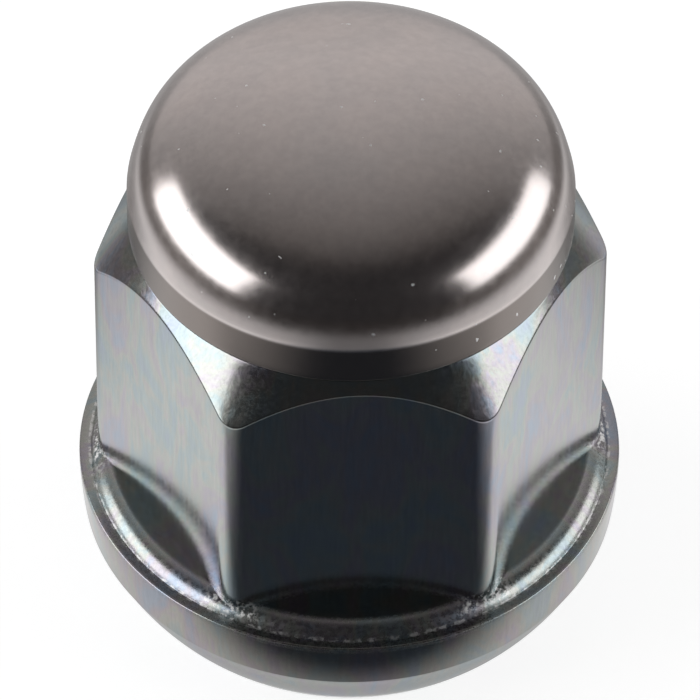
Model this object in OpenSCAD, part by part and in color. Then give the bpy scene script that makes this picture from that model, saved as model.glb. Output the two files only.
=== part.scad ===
// Closed wheel nut: a forged hexagon with a flange and a ball seat, under a pressed-on domed cap.
// Sizes are in millimetres. The nut stands on its seat end, with the thread axis along +Z.

/* [Hexagon] */
// Width across the flats, a little under the size of its 19 mm key
hex_across_flats = 18.8; // [17:0.1:19.6]
// Radius that rounds the six upright corners
hex_corner_r = 1.3; // [0.3:0.1:2]
// Height of the hexagon's top face above the seat end
body_h = 21.8; // [18:0.05:28]
// Slope of the conical chamfer at the top, measured from level
chamfer_angle = 57; // [30:1:65]

/* [Flange] */
// Largest diameter of the flange
flange_d = 22.9; // [22:0.05:23.9]
// Height of the level ledge at the foot of the hexagon above the seat end
ledge_z = 8.3; // [8:0.1:10]
// Radius that rounds the ledge's outer edge
ledge_edge_r = 1; // [0.6:0.05:1.4]
// How far the rim stands out beyond the ledge's rounded edge
rim_step = 0.4; // [0.1:0.05:0.8]
// Height of the ledge above the rim's upper edge
rim_drop = 0.6; // [0.2:0.05:0.9]
// Radius of the round lip at the rim's upper edge
lip_r = 0.1; // [0.05:0.05:0.4]
// How far the barrelled rim draws in towards its lower edge
rim_draw_in = 0.15; // [0.05:0.05:0.4]

/* [Seat] */
// Radius of the ball seat
seat_r = 12; // [11.6:0.1:14]
// Diameter of the flat end that the nut stands on
seat_end_d = 14.4; // [13:0.1:16]
// Width of the flat ring between the ball seat and the countersink
seat_end_land = 0.7; // [0.3:0.05:1]
// Width of the step where the ball seat starts under the rim
seat_step = 0.05; // [0:0.01:0.2]

/* [Thread bore] */
// Inner diameter of the thread, for a 12 mm stud with a pitch of 1.5 mm
bore_d = 10.4; // [8.4:0.1:10.8]
// Slope of the countersink at the mouth, measured from level
mouth_angle = 45; // [30:1:60]
// Height of the bevel at the upper end of the bore
bore_bevel = 0.6; // [0.2:0.1:1]

/* [Collar] */
// Height of the collar that the cap is pressed over
collar_h = 1.3; // [0.8:0.1:2.5]
// Height of the bevel that leads the cap onto the collar
collar_bevel = 0.3; // [0.1:0.05:0.5]
// Gap between the collar and the cap's inner wall
collar_clearance = 0.03; // [0.01:0.01:0.1]
// Width of the ring on the top face that the cap's edge rests on
cap_land = 0.6; // [0.2:0.05:0.8]

/* [Cap] */
// Outer diameter of the straight band at the cap's edge
cap_d = 18.5; // [18:0.1:20]
// Thickness of the drawn sheet
cap_wall = 0.8; // [0.4:0.05:1.2]
// Height of the cap from its edge to its crown
cap_h = 6.85; // [6.3:0.05:9]
// Height of the straight band
cap_band_h = 2; // [0.8:0.1:2.5]
// Lean of the wall above the band, measured from upright
cap_taper = 12; // [6:0.5:20]
// Outer radius of the shoulder
cap_shoulder_r = 3.2; // [2:0.05:4.5]
// Outer radius of the crown
cap_crown_r = 16; // [13:0.5:30]
// Radius that rounds the cap's outer edge
cap_edge_r = 0.3; // [0.1:0.05:0.35]

/* [Hidden] */
$fn = 96;
// Overlap that makes a cut pass clear of a face
cut_over = 0.5;
// How far a straight run ends inside the arc that it is tangent to, so that no sliver is left
tuck = 0.0002;

// Direction of an angle measured from level
function dir(angle) = [cos(angle), sin(angle)];

// Hexagon
hex_inner_r = hex_across_flats / 2;
hex_reach = hex_inner_r / cos(30);
hex_corner_reach = (hex_inner_r - hex_corner_r) / cos(30);

// Flange and seat
flange_r = flange_d / 2;
ledge_edge_centre = [flange_r - rim_step - ledge_edge_r, ledge_z - ledge_edge_r];
rim_top_z = ledge_z - rim_drop;
lip_centre = [flange_r - lip_r, rim_top_z - lip_r];
seat_end_r = seat_end_d / 2;
seat_centre_z = sqrt(pow(seat_r, 2) - pow(seat_end_r, 2));
rim_edge_r = flange_r - rim_draw_in;
seat_top_r = min(rim_edge_r - seat_step, seat_r);
rim_bottom_z = seat_centre_z - sqrt(pow(seat_r, 2) - pow(seat_top_r, 2));
rim_h = lip_centre.y - rim_bottom_z;
rim_barrel_r = (pow(rim_h, 2) + pow(rim_draw_in, 2)) / (2 * rim_draw_in);

// Bore
bore_r = bore_d / 2;
mouth_r = seat_end_r - seat_end_land;
mouth_depth = (mouth_r - bore_r) * tan(mouth_angle);

// Collar and cap seat
cap_r = cap_d / 2;
cap_inner_r = cap_r - cap_wall;
collar_r = cap_inner_r - collar_clearance;
top_face_r = cap_inner_r + cap_land;
collar_top_z = body_h + collar_h;

// The shoulder's centre lies one shoulder radius inside the leaning wall and inside the crown
crown_centre = [0, cap_h - cap_crown_r];
wall_inside = [cap_r, cap_band_h] - cap_shoulder_r * dir(cap_taper);
wall_way = dir(cap_taper + 90);
crown_to_wall = wall_inside - crown_centre;
crown_gap = cap_crown_r - cap_shoulder_r;
wall_dot = crown_to_wall * wall_way;
wall_run = sqrt(pow(wall_dot, 2) - crown_to_wall * crown_to_wall + pow(crown_gap, 2)) - wall_dot;
shoulder_centre = wall_inside + wall_run * wall_way;
crown_angle = atan2(shoulder_centre.y - crown_centre.y, shoulder_centre.x);

// Part of a disc between two angles measured from level
module sector(r, from, to) {
    reach = 2 * r;
    intersection() {
        circle(r);
        polygon([[0, 0], reach * dir(from), reach * dir((from + to) / 2), reach * dir(to)]);
    }
}

// Hexagon with round corners, two of them on the X axis
module hexagon_outline() {
    sides = [for (i = [0:5]) 60 * i];
    flat_end_r = hex_corner_r - tuck;
    polygon([for (a = sides, side = [-30, 30]) hex_corner_reach * dir(a) + flat_end_r * dir(a + side)]);
    for (a = sides) translate(hex_corner_reach * dir(a)) circle(hex_corner_r);
}

// Space inside the conical chamfer at the top of the hexagon
module chamfer_outline() {
    chamfer_foot_z = body_h - (hex_reach - top_face_r) * tan(chamfer_angle);
    polygon([
        [0, rim_bottom_z], [hex_reach, rim_bottom_z], [hex_reach, chamfer_foot_z],
        [top_face_r, body_h], [0, body_h]
    ]);
}

// Half section of the flange: ball seat, barrelled rim, round lip and level ledge with a round edge
module flange_outline() {
    intersection() {
        translate([0, seat_centre_z]) circle(seat_r);
        square([seat_r, rim_bottom_z]);
    }
    intersection() {
        translate([flange_r - rim_barrel_r, lip_centre.y]) circle(rim_barrel_r);
        translate([0, rim_bottom_z]) square([flange_r + cut_over, rim_h]);
    }
    translate(lip_centre) circle(lip_r);
    translate([0, rim_top_z - 2 * lip_r]) square([lip_centre.x, 2 * lip_r]);
    translate(ledge_edge_centre) circle(ledge_edge_r);
    translate([0, rim_bottom_z]) square([ledge_edge_centre.x, ledge_z - rim_bottom_z]);
}

// Low collar on the top face, with a bevel that leads the cap on
module collar() {
    translate([0, 0, body_h - cut_over]) cylinder(h = collar_h + cut_over - collar_bevel, r = collar_r);
    translate([0, 0, collar_top_z - collar_bevel])
        cylinder(h = collar_bevel, r1 = collar_r, r2 = collar_r - collar_bevel);
}

// Through bore with a countersunk mouth and a bevelled upper end
module thread_bore() {
    mouth_over = cut_over / tan(mouth_angle);
    translate([0, 0, -cut_over]) cylinder(h = collar_top_z + 2 * cut_over, r = bore_r);
    translate([0, 0, -cut_over])
        cylinder(h = mouth_depth + cut_over, r1 = mouth_r + mouth_over, r2 = bore_r);
    translate([0, 0, collar_top_z - bore_bevel])
        cylinder(h = bore_bevel + cut_over, r1 = bore_r, r2 = bore_r + bore_bevel + cut_over);
}

// Half section of the dome, drawn in by an inset for its inner face
module dome_outline(inset) {
    band_r = cap_r - inset;
    band_top = cap_band_h - inset * tan(cap_taper / 2);
    wall_end = shoulder_centre + (cap_shoulder_r - inset - tuck) * dir(cap_taper);
    intersection() {
        union() {
            polygon([[0, 0], [band_r, 0], [band_r, band_top], wall_end, shoulder_centre]);
            translate(shoulder_centre) circle(cap_shoulder_r - inset);
            translate(crown_centre) sector(cap_crown_r - inset - tuck, crown_angle, 90);
        }
        square([cap_r, cap_h]);
    }
}

// What the rounded edge takes off the band's lower corner
module cap_edge_cut() {
    difference() {
        translate([cap_r - cap_edge_r, -cut_over]) square([cap_edge_r + cut_over, cap_edge_r + cut_over]);
        translate([cap_r - cap_edge_r, cap_edge_r]) circle(cap_edge_r);
        translate([0, -2 * cut_over]) square([cap_r - cap_edge_r, cap_h]);
    }
}

module nut_body() {
    color([0.74, 0.78, 0.80])
    difference() {
        union() {
            intersection() {
                translate([0, 0, lip_centre.y]) linear_extrude(body_h - lip_centre.y) hexagon_outline();
                rotate_extrude() chamfer_outline();
            }
            rotate_extrude() flange_outline();
            collar();
        }
        thread_bore();
    }
}

module dome_cap() {
    color([0.62, 0.58, 0.56])
    translate([0, 0, body_h])
    rotate_extrude()
    difference() {
        dome_outline(0);
        dome_outline(cap_wall);
        translate([0, -cut_over]) square([cap_inner_r, 2 * cut_over]);
        cap_edge_cut();
    }
}

nut_body();
dome_cap();
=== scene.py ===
"""Looks of the closed wheel nut: fine meshes, plated and polished metal, studio light and camera."""

import math

import bmesh
import bpy
import numpy as np
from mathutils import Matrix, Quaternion, Vector


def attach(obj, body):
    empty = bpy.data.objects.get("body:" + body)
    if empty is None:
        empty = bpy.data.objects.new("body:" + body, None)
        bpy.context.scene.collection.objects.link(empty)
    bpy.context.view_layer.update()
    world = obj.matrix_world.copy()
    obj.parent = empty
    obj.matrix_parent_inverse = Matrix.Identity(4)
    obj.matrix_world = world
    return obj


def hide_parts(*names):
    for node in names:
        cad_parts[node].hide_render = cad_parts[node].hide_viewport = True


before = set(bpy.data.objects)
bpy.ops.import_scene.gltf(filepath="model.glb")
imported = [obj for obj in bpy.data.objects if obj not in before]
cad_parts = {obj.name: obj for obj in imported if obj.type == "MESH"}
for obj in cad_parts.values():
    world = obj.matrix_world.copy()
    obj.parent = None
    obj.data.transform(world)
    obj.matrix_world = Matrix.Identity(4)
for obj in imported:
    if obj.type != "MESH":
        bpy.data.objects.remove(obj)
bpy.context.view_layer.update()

MM = 0.001

# Sizes of the nut in millimetres, the same as in the part's source
HEX_SIDES = 6
HEX_INNER_R = 9.4
HEX_CORNER_R = 1.3
BODY_H = 21.8
CHAMFER_SLOPE = math.tan(math.radians(57))
FLANGE_R = 11.45
LEDGE_Z = 8.3
LEDGE_EDGE_R = 1.0
RIM_STEP = 0.4
RIM_DROP = 0.6
LIP_R = 0.1
RIM_DRAW_IN = 0.15
SEAT_R = 12.0
SEAT_END_R = 7.2
SEAT_STEP = 0.05
BORE_R = 5.2
MOUTH_R = 6.5
BORE_BEVEL = 0.6
COLLAR_H = 1.3
COLLAR_BEVEL = 0.3
COLLAR_CLEARANCE = 0.03
CAP_LAND = 0.6

# Thread in millimetres, and its crest, flanks and root as shares of the pitch
THREAD_R = 6.0
PITCH = 1.5
CREST = 1 / 4
FLANK = 5 / 16
ROOT = 1 / 8

# Sizes of the cap in millimetres
CAP_R = 9.25
CAP_WALL = 0.8
CAP_H = 6.85
CAP_BAND_H = 2.0
CAP_TAPER = math.radians(12)
CAP_SHOULDER_R = 3.2
CAP_CROWN_R = 16.0
CAP_EDGE_R = 0.3

# Derived sizes
LEDGE_END_R = FLANGE_R - RIM_STEP
LEDGE_EDGE_CENTRE = np.array([LEDGE_END_R - LEDGE_EDGE_R, LEDGE_Z - LEDGE_EDGE_R])
RIM_TOP_Z = LEDGE_Z - RIM_DROP
LIP_CENTRE = np.array([FLANGE_R - LIP_R, RIM_TOP_Z - LIP_R])
SEAT_CENTRE_Z = math.sqrt(SEAT_R**2 - SEAT_END_R**2)
SEAT_TOP_R = FLANGE_R - RIM_DRAW_IN - SEAT_STEP
RIM_FOOT_Z = SEAT_CENTRE_Z - math.sqrt(SEAT_R**2 - SEAT_TOP_R**2)
RIM_H = LIP_CENTRE[1] - RIM_FOOT_Z
BARREL_R = (RIM_H**2 + RIM_DRAW_IN**2) / (2 * RIM_DRAW_IN)
CAP_INNER_R = CAP_R - CAP_WALL
COLLAR_R = CAP_INNER_R - COLLAR_CLEARANCE
TOP_FACE_R = CAP_INNER_R + CAP_LAND
COLLAR_TOP_Z = BODY_H + COLLAR_H
# Height at which the chamfer's cone would meet the axis
CHAMFER_TIP_Z = BODY_H + TOP_FACE_R * CHAMFER_SLOPE

# Small roundings of the worked edges in millimetres, and the most of a stretch that one may take up
HEX_EDGE_R = 0.1
COLLAR_ROOT_R = 0.02
COLLAR_EDGE_R = 0.05
BAND_EDGE_R = 0.12
LARGEST_CUT = 0.45
CREASE_ANGLE = math.radians(32)
# Points closer than this many metres are one point
MERGE_DISTANCE = 1e-8

# Easing between the bends of the cap: its length and the spacing of the points in millimetres
EASE_LENGTH = 0.5
EASE_SPACING = 0.15

# Fineness of the meshes: points along each stretch of a section or round the axis
CORNER_POINTS = 18
FLAT_POINTS = 30
SEAT_POINTS = 28
RIM_POINTS = 18
LIP_POINTS = 12
STEP_POINTS = 3
LEDGE_EDGE_POINTS = 30
LEDGE_POINTS = 6
ROUNDING_POINTS = 6
CAP_EDGE_POINTS = 10
CAP_BEND_POINTS = 60
BORE_COLUMNS = 144
BORE_ROWS = 240
CAP_COLUMNS = 256
# Points up the flat, the chamfer, the top face, the collar and its bevel, and up the cap's band and wall
UPPER_RUNS = (16, 8, 2, 3, 1)
BAND_RUNS = (6, 1)
# Points at the end of the band and wall that the easing takes in
BAND_TAIL = 3

# Studio in metres, and the fineness of its sheets
FLOOR_HALF = 3.0
TENT_R = 0.6
TENT_TOP = math.radians(89.9)
TENT_ROWS = 24
SHEET_COLUMNS = 96
BOX_DISTANCE = 0.35
LIGHT_AIM_Z = 0.014


def arc(centre, radius, start, end, count):
    """Points on an arc between two angles in radians, as [r, z] rows."""
    angles = np.linspace(start, end, count)
    return np.asarray(centre) + radius * np.stack([np.cos(angles), np.sin(angles)], axis=1)


def line(start, end, count):
    """Points between two ends, both left out."""
    share = np.linspace(0, 1, count + 2)[1:-1, None]
    return np.asarray(start) * (1 - share) + np.asarray(end) * share


def rounded(corners, radii, runs):
    """A polyline through corners, each inner one rounded, with runs of points on the straight stretches."""
    corners = [np.asarray(c, dtype=float) for c in corners]
    stretches = []
    for before, corner, after, radius in zip(corners, corners[1:], corners[2:], radii):
        back = before - corner
        ahead = after - corner
        back_length = np.linalg.norm(back)
        ahead_length = np.linalg.norm(ahead)
        cut = min(radius, LARGEST_CUT * min(back_length, ahead_length))
        first = corner + back * (cut / back_length)
        last = corner + ahead * (cut / ahead_length)
        t = np.linspace(0, 1, ROUNDING_POINTS)[:, None]
        stretches.append(list(first * (1 - t) ** 2 + corner * 2 * t * (1 - t) + last * t**2))
    stretches.append([corners[-1]])
    points = [corners[0]]
    for stretch, run in zip(stretches, runs):
        points.extend(line(points[-1], stretch[0], run))
        points.extend(stretch)
    return np.array(points)


def hexagon_ring():
    """Points round the hexagon with round corners, as [angle, radius] rows."""
    turn = 2 * math.pi / HEX_SIDES
    half = turn / 2
    reach = (HEX_INNER_R - HEX_CORNER_R) / math.cos(half)
    corners = []
    for side in range(HEX_SIDES):
        middle = turn * side
        centre = reach * np.array([math.cos(middle), math.sin(middle)])
        corners.append(arc(centre, HEX_CORNER_R, middle - half, middle + half, CORNER_POINTS))
    points = []
    for corner, following in zip(corners, corners[1:] + corners[:1]):
        points.extend(corner)
        points.extend(line(corner[-1], following[0], FLAT_POINTS))
    x, y = np.array(points).T
    return np.stack([np.arctan2(y, x), np.hypot(x, y)], axis=1)


def outer_profile(hex_r):
    """Outer half section of the nut where the hexagon reaches hex_r, from the seat end to the collar."""
    seat_start = math.atan2(-SEAT_CENTRE_Z, SEAT_END_R)
    seat_end = math.atan2(RIM_FOOT_Z - SEAT_CENTRE_Z, SEAT_TOP_R)
    seat = arc((0, SEAT_CENTRE_Z), SEAT_R, seat_start, seat_end, SEAT_POINTS)
    rim_start = -math.asin(RIM_H / BARREL_R)
    rim = arc((FLANGE_R - BARREL_R, LIP_CENTRE[1]), BARREL_R, rim_start, 0, RIM_POINTS)
    lip = arc(LIP_CENTRE, LIP_R, 0, math.pi / 2, LIP_POINTS)
    edge_start = math.asin((RIM_TOP_Z - LEDGE_EDGE_CENTRE[1]) / LEDGE_EDGE_R)
    edge_end = math.acos(np.clip((hex_r - LEDGE_EDGE_CENTRE[0]) / LEDGE_EDGE_R, 0, 1))
    ledge_edge = arc(LEDGE_EDGE_CENTRE, LEDGE_EDGE_R, edge_start, edge_end, LEDGE_EDGE_POINTS)
    step = line(lip[-1], ledge_edge[0], STEP_POINTS)
    foot = (hex_r, ledge_edge[-1][1])
    ledge = line(ledge_edge[-1], foot, LEDGE_POINTS)
    upper = rounded(
        [
            foot,
            (hex_r, BODY_H - (hex_r - TOP_FACE_R) * CHAMFER_SLOPE),
            (TOP_FACE_R, BODY_H),
            (COLLAR_R, BODY_H),
            (COLLAR_R, COLLAR_TOP_Z - COLLAR_BEVEL),
            (COLLAR_R - COLLAR_BEVEL, COLLAR_TOP_Z),
        ],
        [HEX_EDGE_R, HEX_EDGE_R, COLLAR_ROOT_R, COLLAR_EDGE_R],
        UPPER_RUNS,
    )
    return np.concatenate([seat, rim, lip[1:], step, ledge_edge, ledge, upper])


def thread_radius(angle, z):
    """Wall of the right-hand thread: crest, flank, root and flank along one pitch."""
    phase = np.mod(z / PITCH - angle / (2 * math.pi), 1)
    ends = np.cumsum([0, CREST, FLANK, ROOT, FLANK])
    return BORE_R + (THREAD_R - BORE_R) * np.interp(phase, ends, [0, 0, 1, 1, 0])


def bore_rings():
    """Rings of the countersunk, threaded and bevelled bore, from the seat end to the collar's top."""
    angles = np.linspace(0, 2 * math.pi, BORE_COLUMNS, endpoint=False)
    heights = np.linspace(0, COLLAR_TOP_Z, BORE_ROWS)
    a, z = np.meshgrid(angles, heights)
    mouth = MOUTH_R - z
    bevel = BORE_R + BORE_BEVEL - (COLLAR_TOP_Z - z)
    r = np.maximum(np.maximum(thread_radius(a, z), mouth), bevel)
    return np.stack([r * np.cos(a), r * np.sin(a), z], axis=2)


def eased(points):
    """A path up to the axis as evenly spaced points, with each change of bend spread over a length."""
    along = np.concatenate([[0], np.cumsum(np.linalg.norm(np.diff(points, axis=0), axis=1))])
    even = np.linspace(0, along[-1], int(along[-1] / EASE_SPACING))
    path = np.stack([np.interp(even, along, points[:, k]) for k in (0, 1)], axis=1)
    reach = int(3 * EASE_LENGTH / EASE_SPACING)
    before = 2 * path[0] - path[reach:0:-1]
    beyond_axis = path[-2:-reach - 2:-1] * (-1, 1)
    whole = np.concatenate([before, path, beyond_axis])
    weights = np.exp(-0.5 * (np.arange(-reach, reach + 1) * EASE_SPACING / EASE_LENGTH) ** 2)
    weights /= weights.sum()
    return np.stack([np.convolve(whole[:, k], weights, "valid") for k in (0, 1)], axis=1)


def cap_profile():
    """Half section of the cap above its edge, from the inner pole round the rim to the outer pole."""
    crown_z = CAP_H - CAP_CROWN_R
    normal = np.array([math.cos(CAP_TAPER), math.sin(CAP_TAPER)])
    way = np.array([-math.sin(CAP_TAPER), math.cos(CAP_TAPER)])
    inside = np.array([CAP_R, CAP_BAND_H]) - CAP_SHOULDER_R * normal
    offset = inside - np.array([0, crown_z])
    dot = offset @ way
    run = math.sqrt(dot**2 - offset @ offset + (CAP_CROWN_R - CAP_SHOULDER_R) ** 2) - dot
    shoulder = inside + run * way
    crown_angle = math.atan2(shoulder[1] - crown_z, shoulder[0])

    def face(inset, edge):
        """One face of the sheet from its edge to the axis, eased from the end of the straight band on."""
        band_top = CAP_BAND_H - inset * math.tan(CAP_TAPER / 2)
        wall_end = shoulder + (CAP_SHOULDER_R - inset) * normal
        band = rounded([edge, (CAP_R - inset, band_top), wall_end], [BAND_EDGE_R], BAND_RUNS)
        bend = arc(shoulder, CAP_SHOULDER_R - inset, CAP_TAPER, crown_angle, CAP_BEND_POINTS)
        crown = arc((0, crown_z), CAP_CROWN_R - inset, crown_angle, math.pi / 2, CAP_BEND_POINTS)
        dome = np.concatenate([band[-BAND_TAIL:], bend[1:], crown[1:]])
        return np.concatenate([band[:-BAND_TAIL], eased(dome)])

    inner = face(CAP_WALL, (CAP_INNER_R, 0))[::-1]
    edge_centre = (CAP_R - CAP_EDGE_R, CAP_EDGE_R)
    turn = arc(edge_centre, CAP_EDGE_R, -math.pi / 2, 0, CAP_EDGE_POINTS)
    outer = face(0, turn[-1])
    return np.concatenate([inner[1:], turn, outer[1:-1]]), (inner[0], outer[-1])


def ring_faces(rows, columns, offset=0):
    """Quads between neighbouring rings that lie one after another in a vertex list."""
    faces = []
    for row in range(rows - 1):
        low = offset + row * columns
        for column in range(columns):
            ahead = (column + 1) % columns
            faces.append((low + column, low + ahead, low + columns + ahead, low + columns + column))
    return faces


def new_piece(name, vertices, faces):
    """A smooth-shaded mesh object from millimetre vertices."""
    mesh = bpy.data.meshes.new(name)
    mesh.from_pydata((np.asarray(vertices) * MM).tolist(), [], faces)
    mesh.polygons.foreach_set("use_smooth", [True] * len(mesh.polygons))
    piece = bpy.data.objects.new(name, mesh)
    bpy.context.scene.collection.objects.link(piece)
    return piece


def ring_edges(bm, first, count):
    """Edges of the closed ring of vertices that starts at an index."""
    ring = [bm.verts[first + i] for i in range(count)]
    return [bm.edges.get((ring[i], ring[(i + 1) % count])) for i in range(count)]


def close_up(piece, bm):
    """Merges doubled points, turns the faces outwards and shades worked edges sharp."""
    bmesh.ops.remove_doubles(bm, verts=bm.verts, dist=MERGE_DISTANCE)
    bmesh.ops.recalc_face_normals(bm, faces=bm.faces)
    for edge in bm.edges:
        edge.smooth = edge.calc_face_angle(0) < CREASE_ANGLE
    bm.to_mesh(piece.data)
    bm.free()


def make_nut():
    """The forged body with its threaded bore, as one closed mesh."""
    ring = hexagon_ring()
    profiles = np.array([outer_profile(r) for r in ring[:, 1]])
    columns, rows = profiles.shape[:2]
    directions = np.stack([np.cos(ring[:, 0]), np.sin(ring[:, 0])], axis=1)
    outer = np.zeros((rows, columns, 3))
    outer[:, :, :2] = profiles[:, :, 0].T[:, :, None] * directions[None]
    outer[:, :, 2] = profiles[:, :, 1].T
    vertices = np.concatenate([outer.reshape(-1, 3), bore_rings().reshape(-1, 3)])
    outer_count = rows * columns
    bore_faces = [face[::-1] for face in ring_faces(BORE_ROWS, BORE_COLUMNS, outer_count)]
    piece = new_piece("nut_skin", vertices, ring_faces(rows, columns) + bore_faces)
    bm = bmesh.new()
    bm.from_mesh(piece.data)
    bm.verts.ensure_lookup_table()
    last_outer = outer_count - columns
    last_bore = outer_count + (BORE_ROWS - 1) * BORE_COLUMNS
    for outer_first, bore_first in ((0, outer_count), (last_outer, last_bore)):
        edges = ring_edges(bm, outer_first, columns) + ring_edges(bm, bore_first, BORE_COLUMNS)
        bmesh.ops.bridge_loops(bm, edges=edges)
    close_up(piece, bm)
    return piece


def make_cap():
    """The drawn cap as one closed shell."""
    profile, poles = cap_profile()
    angles = np.linspace(0, 2 * math.pi, CAP_COLUMNS, endpoint=False)
    rings = np.zeros((len(profile), CAP_COLUMNS, 3))
    rings[:, :, 0] = profile[:, 0, None] * np.cos(angles)
    rings[:, :, 1] = profile[:, 0, None] * np.sin(angles)
    rings[:, :, 2] = profile[:, 1, None] + BODY_H
    vertices = list(rings.reshape(-1, 3))
    faces = ring_faces(len(profile), CAP_COLUMNS)
    last_ring = (len(profile) - 1) * CAP_COLUMNS
    for pole, first in zip(poles, (0, last_ring)):
        tip = len(vertices)
        vertices.append(np.array([0, 0, pole[1] + BODY_H]))
        faces.extend((first + i, first + (i + 1) % CAP_COLUMNS, tip) for i in range(CAP_COLUMNS))
    piece = new_piece("cap_skin", np.array(vertices), faces)
    bm = bmesh.new()
    bm.from_mesh(piece.data)
    close_up(piece, bm)
    return piece


class Nodes:
    """Short names for building a node tree."""

    def __init__(self, tree):
        self.tree = tree
        tree.nodes.clear()

    def add(self, kind, **values):
        node = self.tree.nodes.new(kind)
        for name, value in values.items():
            setattr(node, name, value)
        return node

    def link(self, source, target):
        self.tree.links.new(source, target)

    def object_place(self):
        return self.add("ShaderNodeTexCoord").outputs["Object"]

    def noise(self, vector, scale, detail=2.0, roughness=0.5, distortion=0.0):
        node = self.add("ShaderNodeTexNoise")
        node.inputs["Scale"].default_value = scale
        node.inputs["Detail"].default_value = detail
        node.inputs["Roughness"].default_value = roughness
        node.inputs["Distortion"].default_value = distortion
        self.link(vector, node.inputs["Vector"])
        return node.outputs["Fac"]

    def stretch(self, vector, scale):
        node = self.add("ShaderNodeMapping")
        node.inputs["Scale"].default_value = scale
        self.link(vector, node.inputs["Vector"])
        return node.outputs["Vector"]

    def split(self, vector):
        node = self.add("ShaderNodeSeparateXYZ")
        self.link(vector, node.inputs["Vector"])
        return node.outputs

    def length(self, vector):
        node = self.add("ShaderNodeVectorMath", operation="LENGTH")
        self.link(vector, node.inputs[0])
        return node.outputs["Value"]

    def ramp(self, value, stops):
        node = self.add("ShaderNodeValToRGB")
        elements = node.color_ramp.elements
        while len(elements) < len(stops):
            elements.new(0.5)
        for element, (position, colour) in zip(elements, stops):
            element.position = position
            element.color = (*colour, 1)
        self.link(value, node.inputs["Fac"])
        return node.outputs["Color"]

    def map_range(self, value, low, high, to_low, to_high):
        node = self.add("ShaderNodeMapRange")
        node.inputs["From Min"].default_value = low
        node.inputs["From Max"].default_value = high
        node.inputs["To Min"].default_value = to_low
        node.inputs["To Max"].default_value = to_high
        self.link(value, node.inputs["Value"])
        return node.outputs["Result"]

    def smooth_step(self, value, low, high):
        node = self.add("ShaderNodeMapRange", interpolation_type="SMOOTHSTEP")
        node.inputs["From Min"].default_value = low
        node.inputs["From Max"].default_value = high
        self.link(value, node.inputs["Value"])
        return node.outputs["Result"]

    def fade(self, distance, nought, one):
        """Smooth step over a distance, from nought at one place to one at another, in millimetres."""
        return self.smooth_step(distance, nought * MM, one * MM)

    def math(self, operation, first, second=0.0):
        node = self.add("ShaderNodeMath", operation=operation)
        for socket, value in zip(node.inputs, (first, second)):
            if isinstance(value, (int, float)):
                socket.default_value = value
            else:
                self.link(value, socket)
        return node.outputs["Value"]

    def product(self, *values):
        result = values[0]
        for value in values[1:]:
            result = self.math("MULTIPLY", result, value)
        return result

    def largest(self, *values):
        result = values[0]
        for value in values[1:]:
            result = self.math("MAXIMUM", result, value)
        return result

    def mix(self, fac, first, second, blend="MIX"):
        node = self.add("ShaderNodeMix", data_type="RGBA", blend_type=blend)
        for name, value in (("Factor", fac), ("A", first), ("B", second)):
            socket = node.inputs[name]
            if isinstance(value, (int, float)):
                socket.default_value = value
            elif isinstance(value, tuple):
                socket.default_value = (*value, 1)
            else:
                self.link(value, socket)
        return node.outputs["Result"]

    def bump(self, height, strength, distance, normal=None):
        node = self.add("ShaderNodeBump")
        node.inputs["Strength"].default_value = strength
        node.inputs["Distance"].default_value = distance
        self.link(height, node.inputs["Height"])
        if normal is not None:
            self.link(normal, node.inputs["Normal"])
        return node.outputs["Normal"]

    def shader(self, kind, colour, strength=None):
        node = self.add(kind)
        if isinstance(colour, tuple):
            node.inputs["Color"].default_value = (*colour, 1)
        else:
            self.link(colour, node.inputs["Color"])
        if strength is not None:
            node.inputs["Strength"].default_value = strength
        return node.outputs[0]

    def join(self, kind, *parts):
        """Add or mix shader; the last sockets take the shaders, the first one a mix factor."""
        node = self.add(kind)
        for socket, part in zip(node.inputs, parts):
            self.link(part, socket)
        return node.outputs["Shader"]

    def seen_directly(self):
        """One for rays from the camera, from metal and from glass."""
        path = self.add("ShaderNodeLightPath").outputs
        return self.largest(path["Is Camera Ray"], path["Is Glossy Ray"], path["Is Transmission Ray"])

    def finish(self, kind, surface):
        output = self.add(kind)
        self.link(surface, output.inputs["Surface"])


def grey(value):
    return (value, value, value)


def metal(name):
    """A new metal with its tree, its shader and the object's own coordinates."""
    material = bpy.data.materials.new(name)
    material.use_nodes = True
    nodes = Nodes(material.node_tree)
    shader = nodes.add("ShaderNodeBsdfPrincipled")
    shader.inputs["Metallic"].default_value = 1.0
    nodes.finish("ShaderNodeOutputMaterial", shader.outputs["BSDF"])
    return material, nodes, shader, nodes.object_place()


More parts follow.
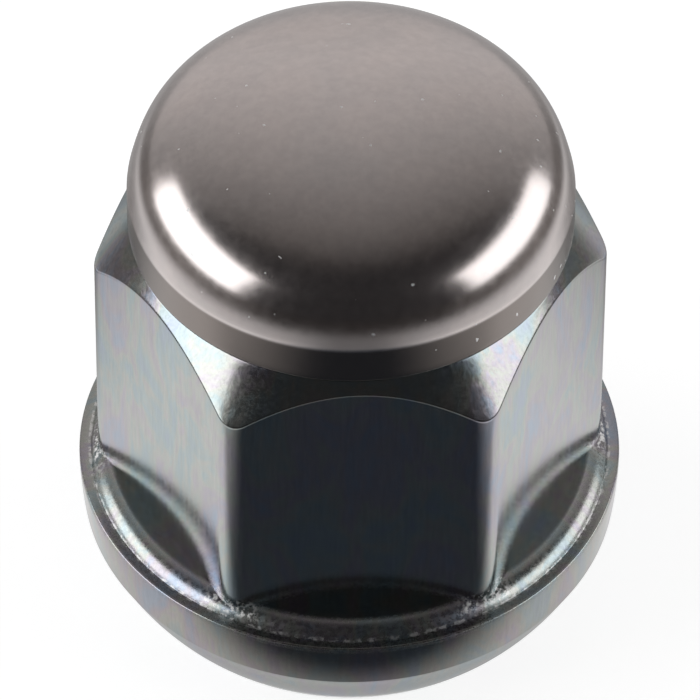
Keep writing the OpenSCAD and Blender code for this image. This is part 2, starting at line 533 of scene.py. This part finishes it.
def plated_metal():
    """Bright zinc plate with a faint rainbow sheen, upright drawing marks and worn edges."""
    material, nodes, shader, place = metal("zinc_plate")
    at = nodes.split(place)
    reach = nodes.length(nodes.stretch(place, (1, 1, 0)))
    streaks = nodes.noise(nodes.stretch(place, (1, 1, 0.08)), scale=6500, detail=4, roughness=0.8)
    clouds = nodes.noise(
        nodes.stretch(place, (1, 1, 0.45)), scale=420, detail=4, roughness=0.65, distortion=0.6
    )
    speckle = nodes.noise(place, scale=5200, detail=3, roughness=0.6)

    # Rainbow sheen under upright streaks
    sheen = nodes.ramp(
        clouds,
        [
            (0.30, (0.39, 0.44, 0.52)),
            (0.42, (0.40, 0.47, 0.48)),
            (0.50, (0.47, 0.48, 0.45)),
            (0.57, (0.46, 0.43, 0.47)),
            (0.68, (0.38, 0.44, 0.53)),
        ],
    )
    marks = nodes.ramp(streaks, [(0.3, grey(0.64)), (0.7, grey(0.92))])
    streaked = nodes.mix(0.6, sheen, marks, "MULTIPLY")

    # Scuffs at the feet of the corners
    turn = nodes.math("ARCTAN2", at["Y"], at["X"])
    corner_wave = nodes.math("COSINE", nodes.math("MULTIPLY", turn, HEX_SIDES))
    scuffs = nodes.product(
        nodes.smooth_step(corner_wave, 0.6, 0.97),
        nodes.fade(at["Z"], LEDGE_Z - 0.5, LEDGE_Z - 0.3),
        nodes.fade(at["Z"], LEDGE_Z + 0.6, LEDGE_Z - 0.1),
        nodes.smooth_step(speckle, 0.47, 0.60),
    )

    # Nicks where the ledge's round edge meets the step
    nicks = nodes.product(
        nodes.smooth_step(nodes.noise(place, scale=3400, detail=3, roughness=0.7), 0.46, 0.60),
        nodes.fade(reach, LEDGE_END_R + 0.04, LEDGE_END_R - 0.01),
        nodes.fade(at["Z"], RIM_TOP_Z - 0.08, RIM_TOP_Z),
        nodes.fade(at["Z"], RIM_TOP_Z + 0.14, RIM_TOP_Z + 0.06),
    )
    worn = nodes.largest(scuffs, nodes.math("MULTIPLY", nicks, 0.7))

    # Painted shade: the rim's colour is darkened to dim its reflections
    rim_shade_mask = nodes.product(
        nodes.fade(reach, LEDGE_END_R + 0.05, LEDGE_END_R + 0.25),
        nodes.fade(at["Z"], RIM_TOP_Z + 0.1, RIM_TOP_Z - 0.2),
    )
    rim_painted_shade = nodes.mix(rim_shade_mask, streaked, (0.74, 0.70, 0.68), "MULTIPLY")
    nodes.link(nodes.mix(worn, rim_painted_shade, grey(0.92)), shader.inputs["Base Color"])

    # Roughness of the drawn flats, the forged round edge, the turned chamfer and the worn places
    drawn = nodes.map_range(streaks, 0.3, 0.7, 0.11, 0.19)
    forged = nodes.product(
        nodes.fade(reach, LEDGE_EDGE_CENTRE[0] - 0.05, LEDGE_EDGE_CENTRE[0] + 0.25),
        nodes.fade(at["Z"], LEDGE_Z + 0.2, LEDGE_Z),
        nodes.fade(at["Z"], RIM_TOP_Z - 0.4, RIM_TOP_Z - 0.2),
        nodes.map_range(speckle, 0.35, 0.65, 0.22, 0.34),
    )
    cone = nodes.math("ADD", at["Z"], nodes.math("MULTIPLY", reach, CHAMFER_SLOPE))
    turned = nodes.product(
        nodes.fade(cone, CHAMFER_TIP_Z - 0.2, CHAMFER_TIP_Z - 0.1),
        nodes.map_range(speckle, 0.35, 0.65, 0.12, 0.20),
    )
    roughness = nodes.largest(drawn, forged, turned, nodes.math("MULTIPLY", worn, 0.6))
    nodes.link(roughness, shader.inputs["Roughness"])

    grooves = nodes.bump(streaks, strength=0.05, distance=0.02 * MM)
    grain = nodes.bump(speckle, strength=0.06, distance=0.02 * MM, normal=grooves)
    nodes.link(grain, shader.inputs["Normal"])
    return material


def polished_metal():
    """Polished stainless steel with a warm tint, a fine mottle, specks of dust and a painted dark
    reflection on the band.
    """
    material, nodes, shader, place = metal("polished_steel")
    mottle = nodes.noise(place, scale=2200, detail=4, roughness=0.65)
    clouds = nodes.noise(place, scale=420, detail=3, roughness=0.55)
    dust = nodes.smooth_step(nodes.noise(place, scale=3600, detail=0), 0.845, 0.865)
    tint = nodes.ramp(mottle, [(0.35, (0.575, 0.515, 0.505)), (0.65, (0.645, 0.58, 0.565))])
    cloud_tint = nodes.ramp(clouds, [(0.35, grey(0.54)), (0.65, (0.66, 0.62, 0.60))])
    toned = nodes.mix(0.25, tint, cloud_tint)
    # Painted reflection: the straight band's colour is made dark brown to stand in for what it reflects
    band_top = BODY_H + CAP_BAND_H
    band_reflection_mask = nodes.fade(nodes.split(place)["Z"], band_top + 0.05, band_top - 0.15)
    band_painted_reflection = nodes.mix(band_reflection_mask, toned, (0.23, 0.20, 0.185))
    nodes.link(nodes.mix(dust, band_painted_reflection, grey(0.9)), shader.inputs["Base Color"])
    polish = nodes.map_range(mottle, 0.3, 0.7, 0.19, 0.24)
    roughness = nodes.largest(polish, nodes.math("MULTIPLY", dust, 0.6))
    nodes.link(roughness, shader.inputs["Roughness"])
    nodes.link(nodes.bump(mottle, strength=0.04, distance=0.02 * MM), shader.inputs["Normal"])
    return material


def stage_piece(name, corners, faces):
    """A mesh of the studio, with a new material of the same name."""
    mesh = bpy.data.meshes.new(name)
    mesh.from_pydata(corners, [], faces)
    piece = bpy.data.objects.new(name, mesh)
    bpy.context.scene.collection.objects.link(piece)
    material = bpy.data.materials.new(name)
    material.use_nodes = True
    mesh.materials.append(material)
    return piece, Nodes(material.node_tree)


def only_in_reflections(piece):
    piece.visible_camera = False
    piece.visible_diffuse = False
    piece.visible_shadow = False


def make_floor():
    """White floor that keeps a soft shadow."""
    outline = [(-1, -1, 0), (1, -1, 0), (1, 1, 0), (-1, 1, 0)]
    corners = [(x * FLOOR_HALF, y * FLOOR_HALF, z) for x, y, z in outline]
    _, nodes = stage_piece("floor", corners, [(0, 1, 2, 3)])
    plain = nodes.shader("ShaderNodeBsdfDiffuse", grey(0.82))
    glow = nodes.shader("ShaderNodeEmission", grey(1.0), strength=0.70)
    shaded = nodes.shader("ShaderNodeBsdfDiffuse", grey(0.6))
    white = nodes.join("ShaderNodeAddShader", glow, shaded)
    surface = nodes.join("ShaderNodeMixShader", nodes.seen_directly(), plain, white)
    nodes.finish("ShaderNodeOutputMaterial", surface)


def round_sheet(radii, heights):
    """Points and faces of a sheet turned about the upright axis."""
    angles = np.linspace(0, 2 * math.pi, SHEET_COLUMNS, endpoint=False)
    corners = [(r * math.cos(a), r * math.sin(a), z) for r, z in zip(radii, heights) for a in angles]
    return corners, ring_faces(len(radii), SHEET_COLUMNS)


def make_floor_shade():
    """Sheet on the floor that only reflections see, with painted shade: dark in front, and shade elsewhere.
    """
    hole_r = 8.5 * MM
    lift = 0.4 * MM
    corners, faces = round_sheet((hole_r, TENT_R), (lift, lift))
    sheet, nodes = stage_piece("floor_shade", corners, faces)
    only_in_reflections(sheet)
    place = nodes.object_place()
    at = nodes.split(place)
    reach = nodes.length(place)
    aside = nodes.math("ABSOLUTE", at["X"])
    # Painted shade for reflections: dark in front, far off, behind the nut and close round it
    front_shade = nodes.product(
        nodes.fade(at["Y"], -8.5, -16),
        nodes.fade(at["Y"], -130, -35),
        nodes.fade(aside, 40, 7),
    )
    far = nodes.fade(reach, 42, 85)
    behind = nodes.product(nodes.fade(at["Y"], 1, 18), nodes.fade(aside, 56, 25), 0.9)
    contact_shadow = nodes.product(nodes.fade(reach, 14.5, 9), 0.5)
    shaded = nodes.largest(far, behind, contact_shadow)
    facing = nodes.map_range(nodes.math("DIVIDE", at["Y"], reach), -1, 1, 0, 1)
    shade = nodes.ramp(
        facing,
        [
            (0.1, (0.030, 0.027, 0.026)),
            (0.4, (0.17, 0.155, 0.145)),
            (0.82, (0.16, 0.15, 0.145)),
            (1.0, grey(0.48)),
        ],
    )
    front_shade_colour = (0.040, 0.046, 0.056)
    dark = nodes.shader("ShaderNodeEmission", nodes.mix(shaded, front_shade_colour, shade), strength=1.0)
    clear = nodes.shader("ShaderNodeBsdfTransparent", grey(1.0))
    cover = nodes.largest(front_shade, shaded)
    nodes.finish("ShaderNodeOutputMaterial", nodes.join("ShaderNodeMixShader", cover, clear, dark))


def make_tent():
    """Glowing tent that only reflections see, painted light: grey at the back, darker at the sides, dark in
    front.
    """
    tilts = np.linspace(0, TENT_TOP, TENT_ROWS)
    corners, faces = round_sheet(TENT_R * np.cos(tilts), TENT_R * np.sin(tilts))
    tent, nodes = stage_piece("painted_light_tent", corners, faces)
    only_in_reflections(tent)
    at = nodes.split(nodes.stretch(nodes.object_place(), grey(1 / TENT_R)))
    height_share = nodes.math("MULTIPLY", at["Z"], 0.35)
    side_share = nodes.product(at["X"], at["X"], 1.1)
    depth = nodes.math("SUBTRACT", nodes.math("SUBTRACT", at["Y"], height_share), side_share)
    # Painted light and shade of the surroundings, glowing for reflections
    painted_surroundings = nodes.ramp(
        nodes.map_range(depth, -1, 1, 0, 1),
        [
            (0.12, (0.030, 0.029, 0.030)),
            (0.20, (0.050, 0.047, 0.046)),
            (0.33, (0.21, 0.20, 0.195)),
            (0.50, (0.37, 0.36, 0.355)),
            (0.70, (0.56, 0.54, 0.53)),
            (0.85, (0.67, 0.65, 0.64)),
            (0.98, (0.60, 0.58, 0.57)),
        ],
    )
    nodes.finish("ShaderNodeOutputMaterial", nodes.shader("ShaderNodeEmission", painted_surroundings, strength=1.0))


def make_world():
    """White where it is seen, and a plain grey light elsewhere."""
    world = bpy.data.worlds.new("studio")
    bpy.context.scene.world = world
    world.use_nodes = True
    nodes = Nodes(world.node_tree)
    white = nodes.shader("ShaderNodeBackground", grey(1.0), strength=1.0)
    light = nodes.shader("ShaderNodeBackground", grey(1.0), strength=0.35)
    surface = nodes.join("ShaderNodeMixShader", nodes.seen_directly(), light, white)
    nodes.finish("ShaderNodeOutputWorld", surface)


def direction(azimuth, elevation):
    """Unit vector from an azimuth counted from the front to the right, and an elevation, in degrees."""
    a = math.radians(azimuth)
    e = math.radians(elevation)
    return Vector((math.sin(a) * math.cos(e), -math.cos(a) * math.cos(e), math.sin(e)))


def soft_box(name, azimuth, elevation, width, height, radiance):
    """Area lamp that faces the nut."""
    lamp = bpy.data.lights.new(name, "AREA")
    lamp.shape = "RECTANGLE"
    lamp.size = width
    lamp.size_y = height
    lamp.energy = radiance * math.pi * width * height
    light = bpy.data.objects.new(name, lamp)
    back = direction(azimuth, elevation)
    light.location = Vector((0, 0, LIGHT_AIM_Z)) + back * BOX_DISTANCE
    light.rotation_euler = back.to_track_quat("Z", "Y").to_euler()
    light.visible_camera = False
    bpy.context.scene.collection.objects.link(light)


def make_camera():
    """Camera at the photograph's viewing angle, with its focal length in pixels of the square image."""
    distance = 0.4
    roll = math.radians(0.4)
    focal_px = 9532.0
    image_px = 700.0
    target = Vector((0, 0, 0.013626))
    back = direction(azimuth=-2.6, elevation=48)
    data = bpy.data.cameras.new("camera")
    data.sensor_width = 36.0
    data.lens = focal_px * data.sensor_width / image_px
    data.clip_start = 0.01
    data.clip_end = 10.0
    camera = bpy.data.objects.new("camera", data)
    camera.location = target + back * distance
    camera.rotation_euler = (back.to_track_quat("Z", "Y") @ Quaternion((0, 0, 1), roll)).to_euler()
    bpy.context.scene.collection.objects.link(camera)
    bpy.context.scene.camera = camera


make_camera()

nut = make_nut()
nut.data.materials.append(plated_metal())
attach(nut, "root")
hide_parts("nut_body")

cap = make_cap()
cap.data.materials.append(polished_metal())
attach(cap, "root")
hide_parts("dome_cap")

make_floor()
make_floor_shade()
make_tent()
make_world()
soft_box("left_soft_box", azimuth=-85, elevation=18.5, width=0.41, height=0.235, radiance=2.5)
soft_box("right_soft_box", azimuth=85, elevation=17.3, width=0.41, height=0.207, radiance=2.0)

bpy.context.scene.view_settings.view_transform = "Standard"
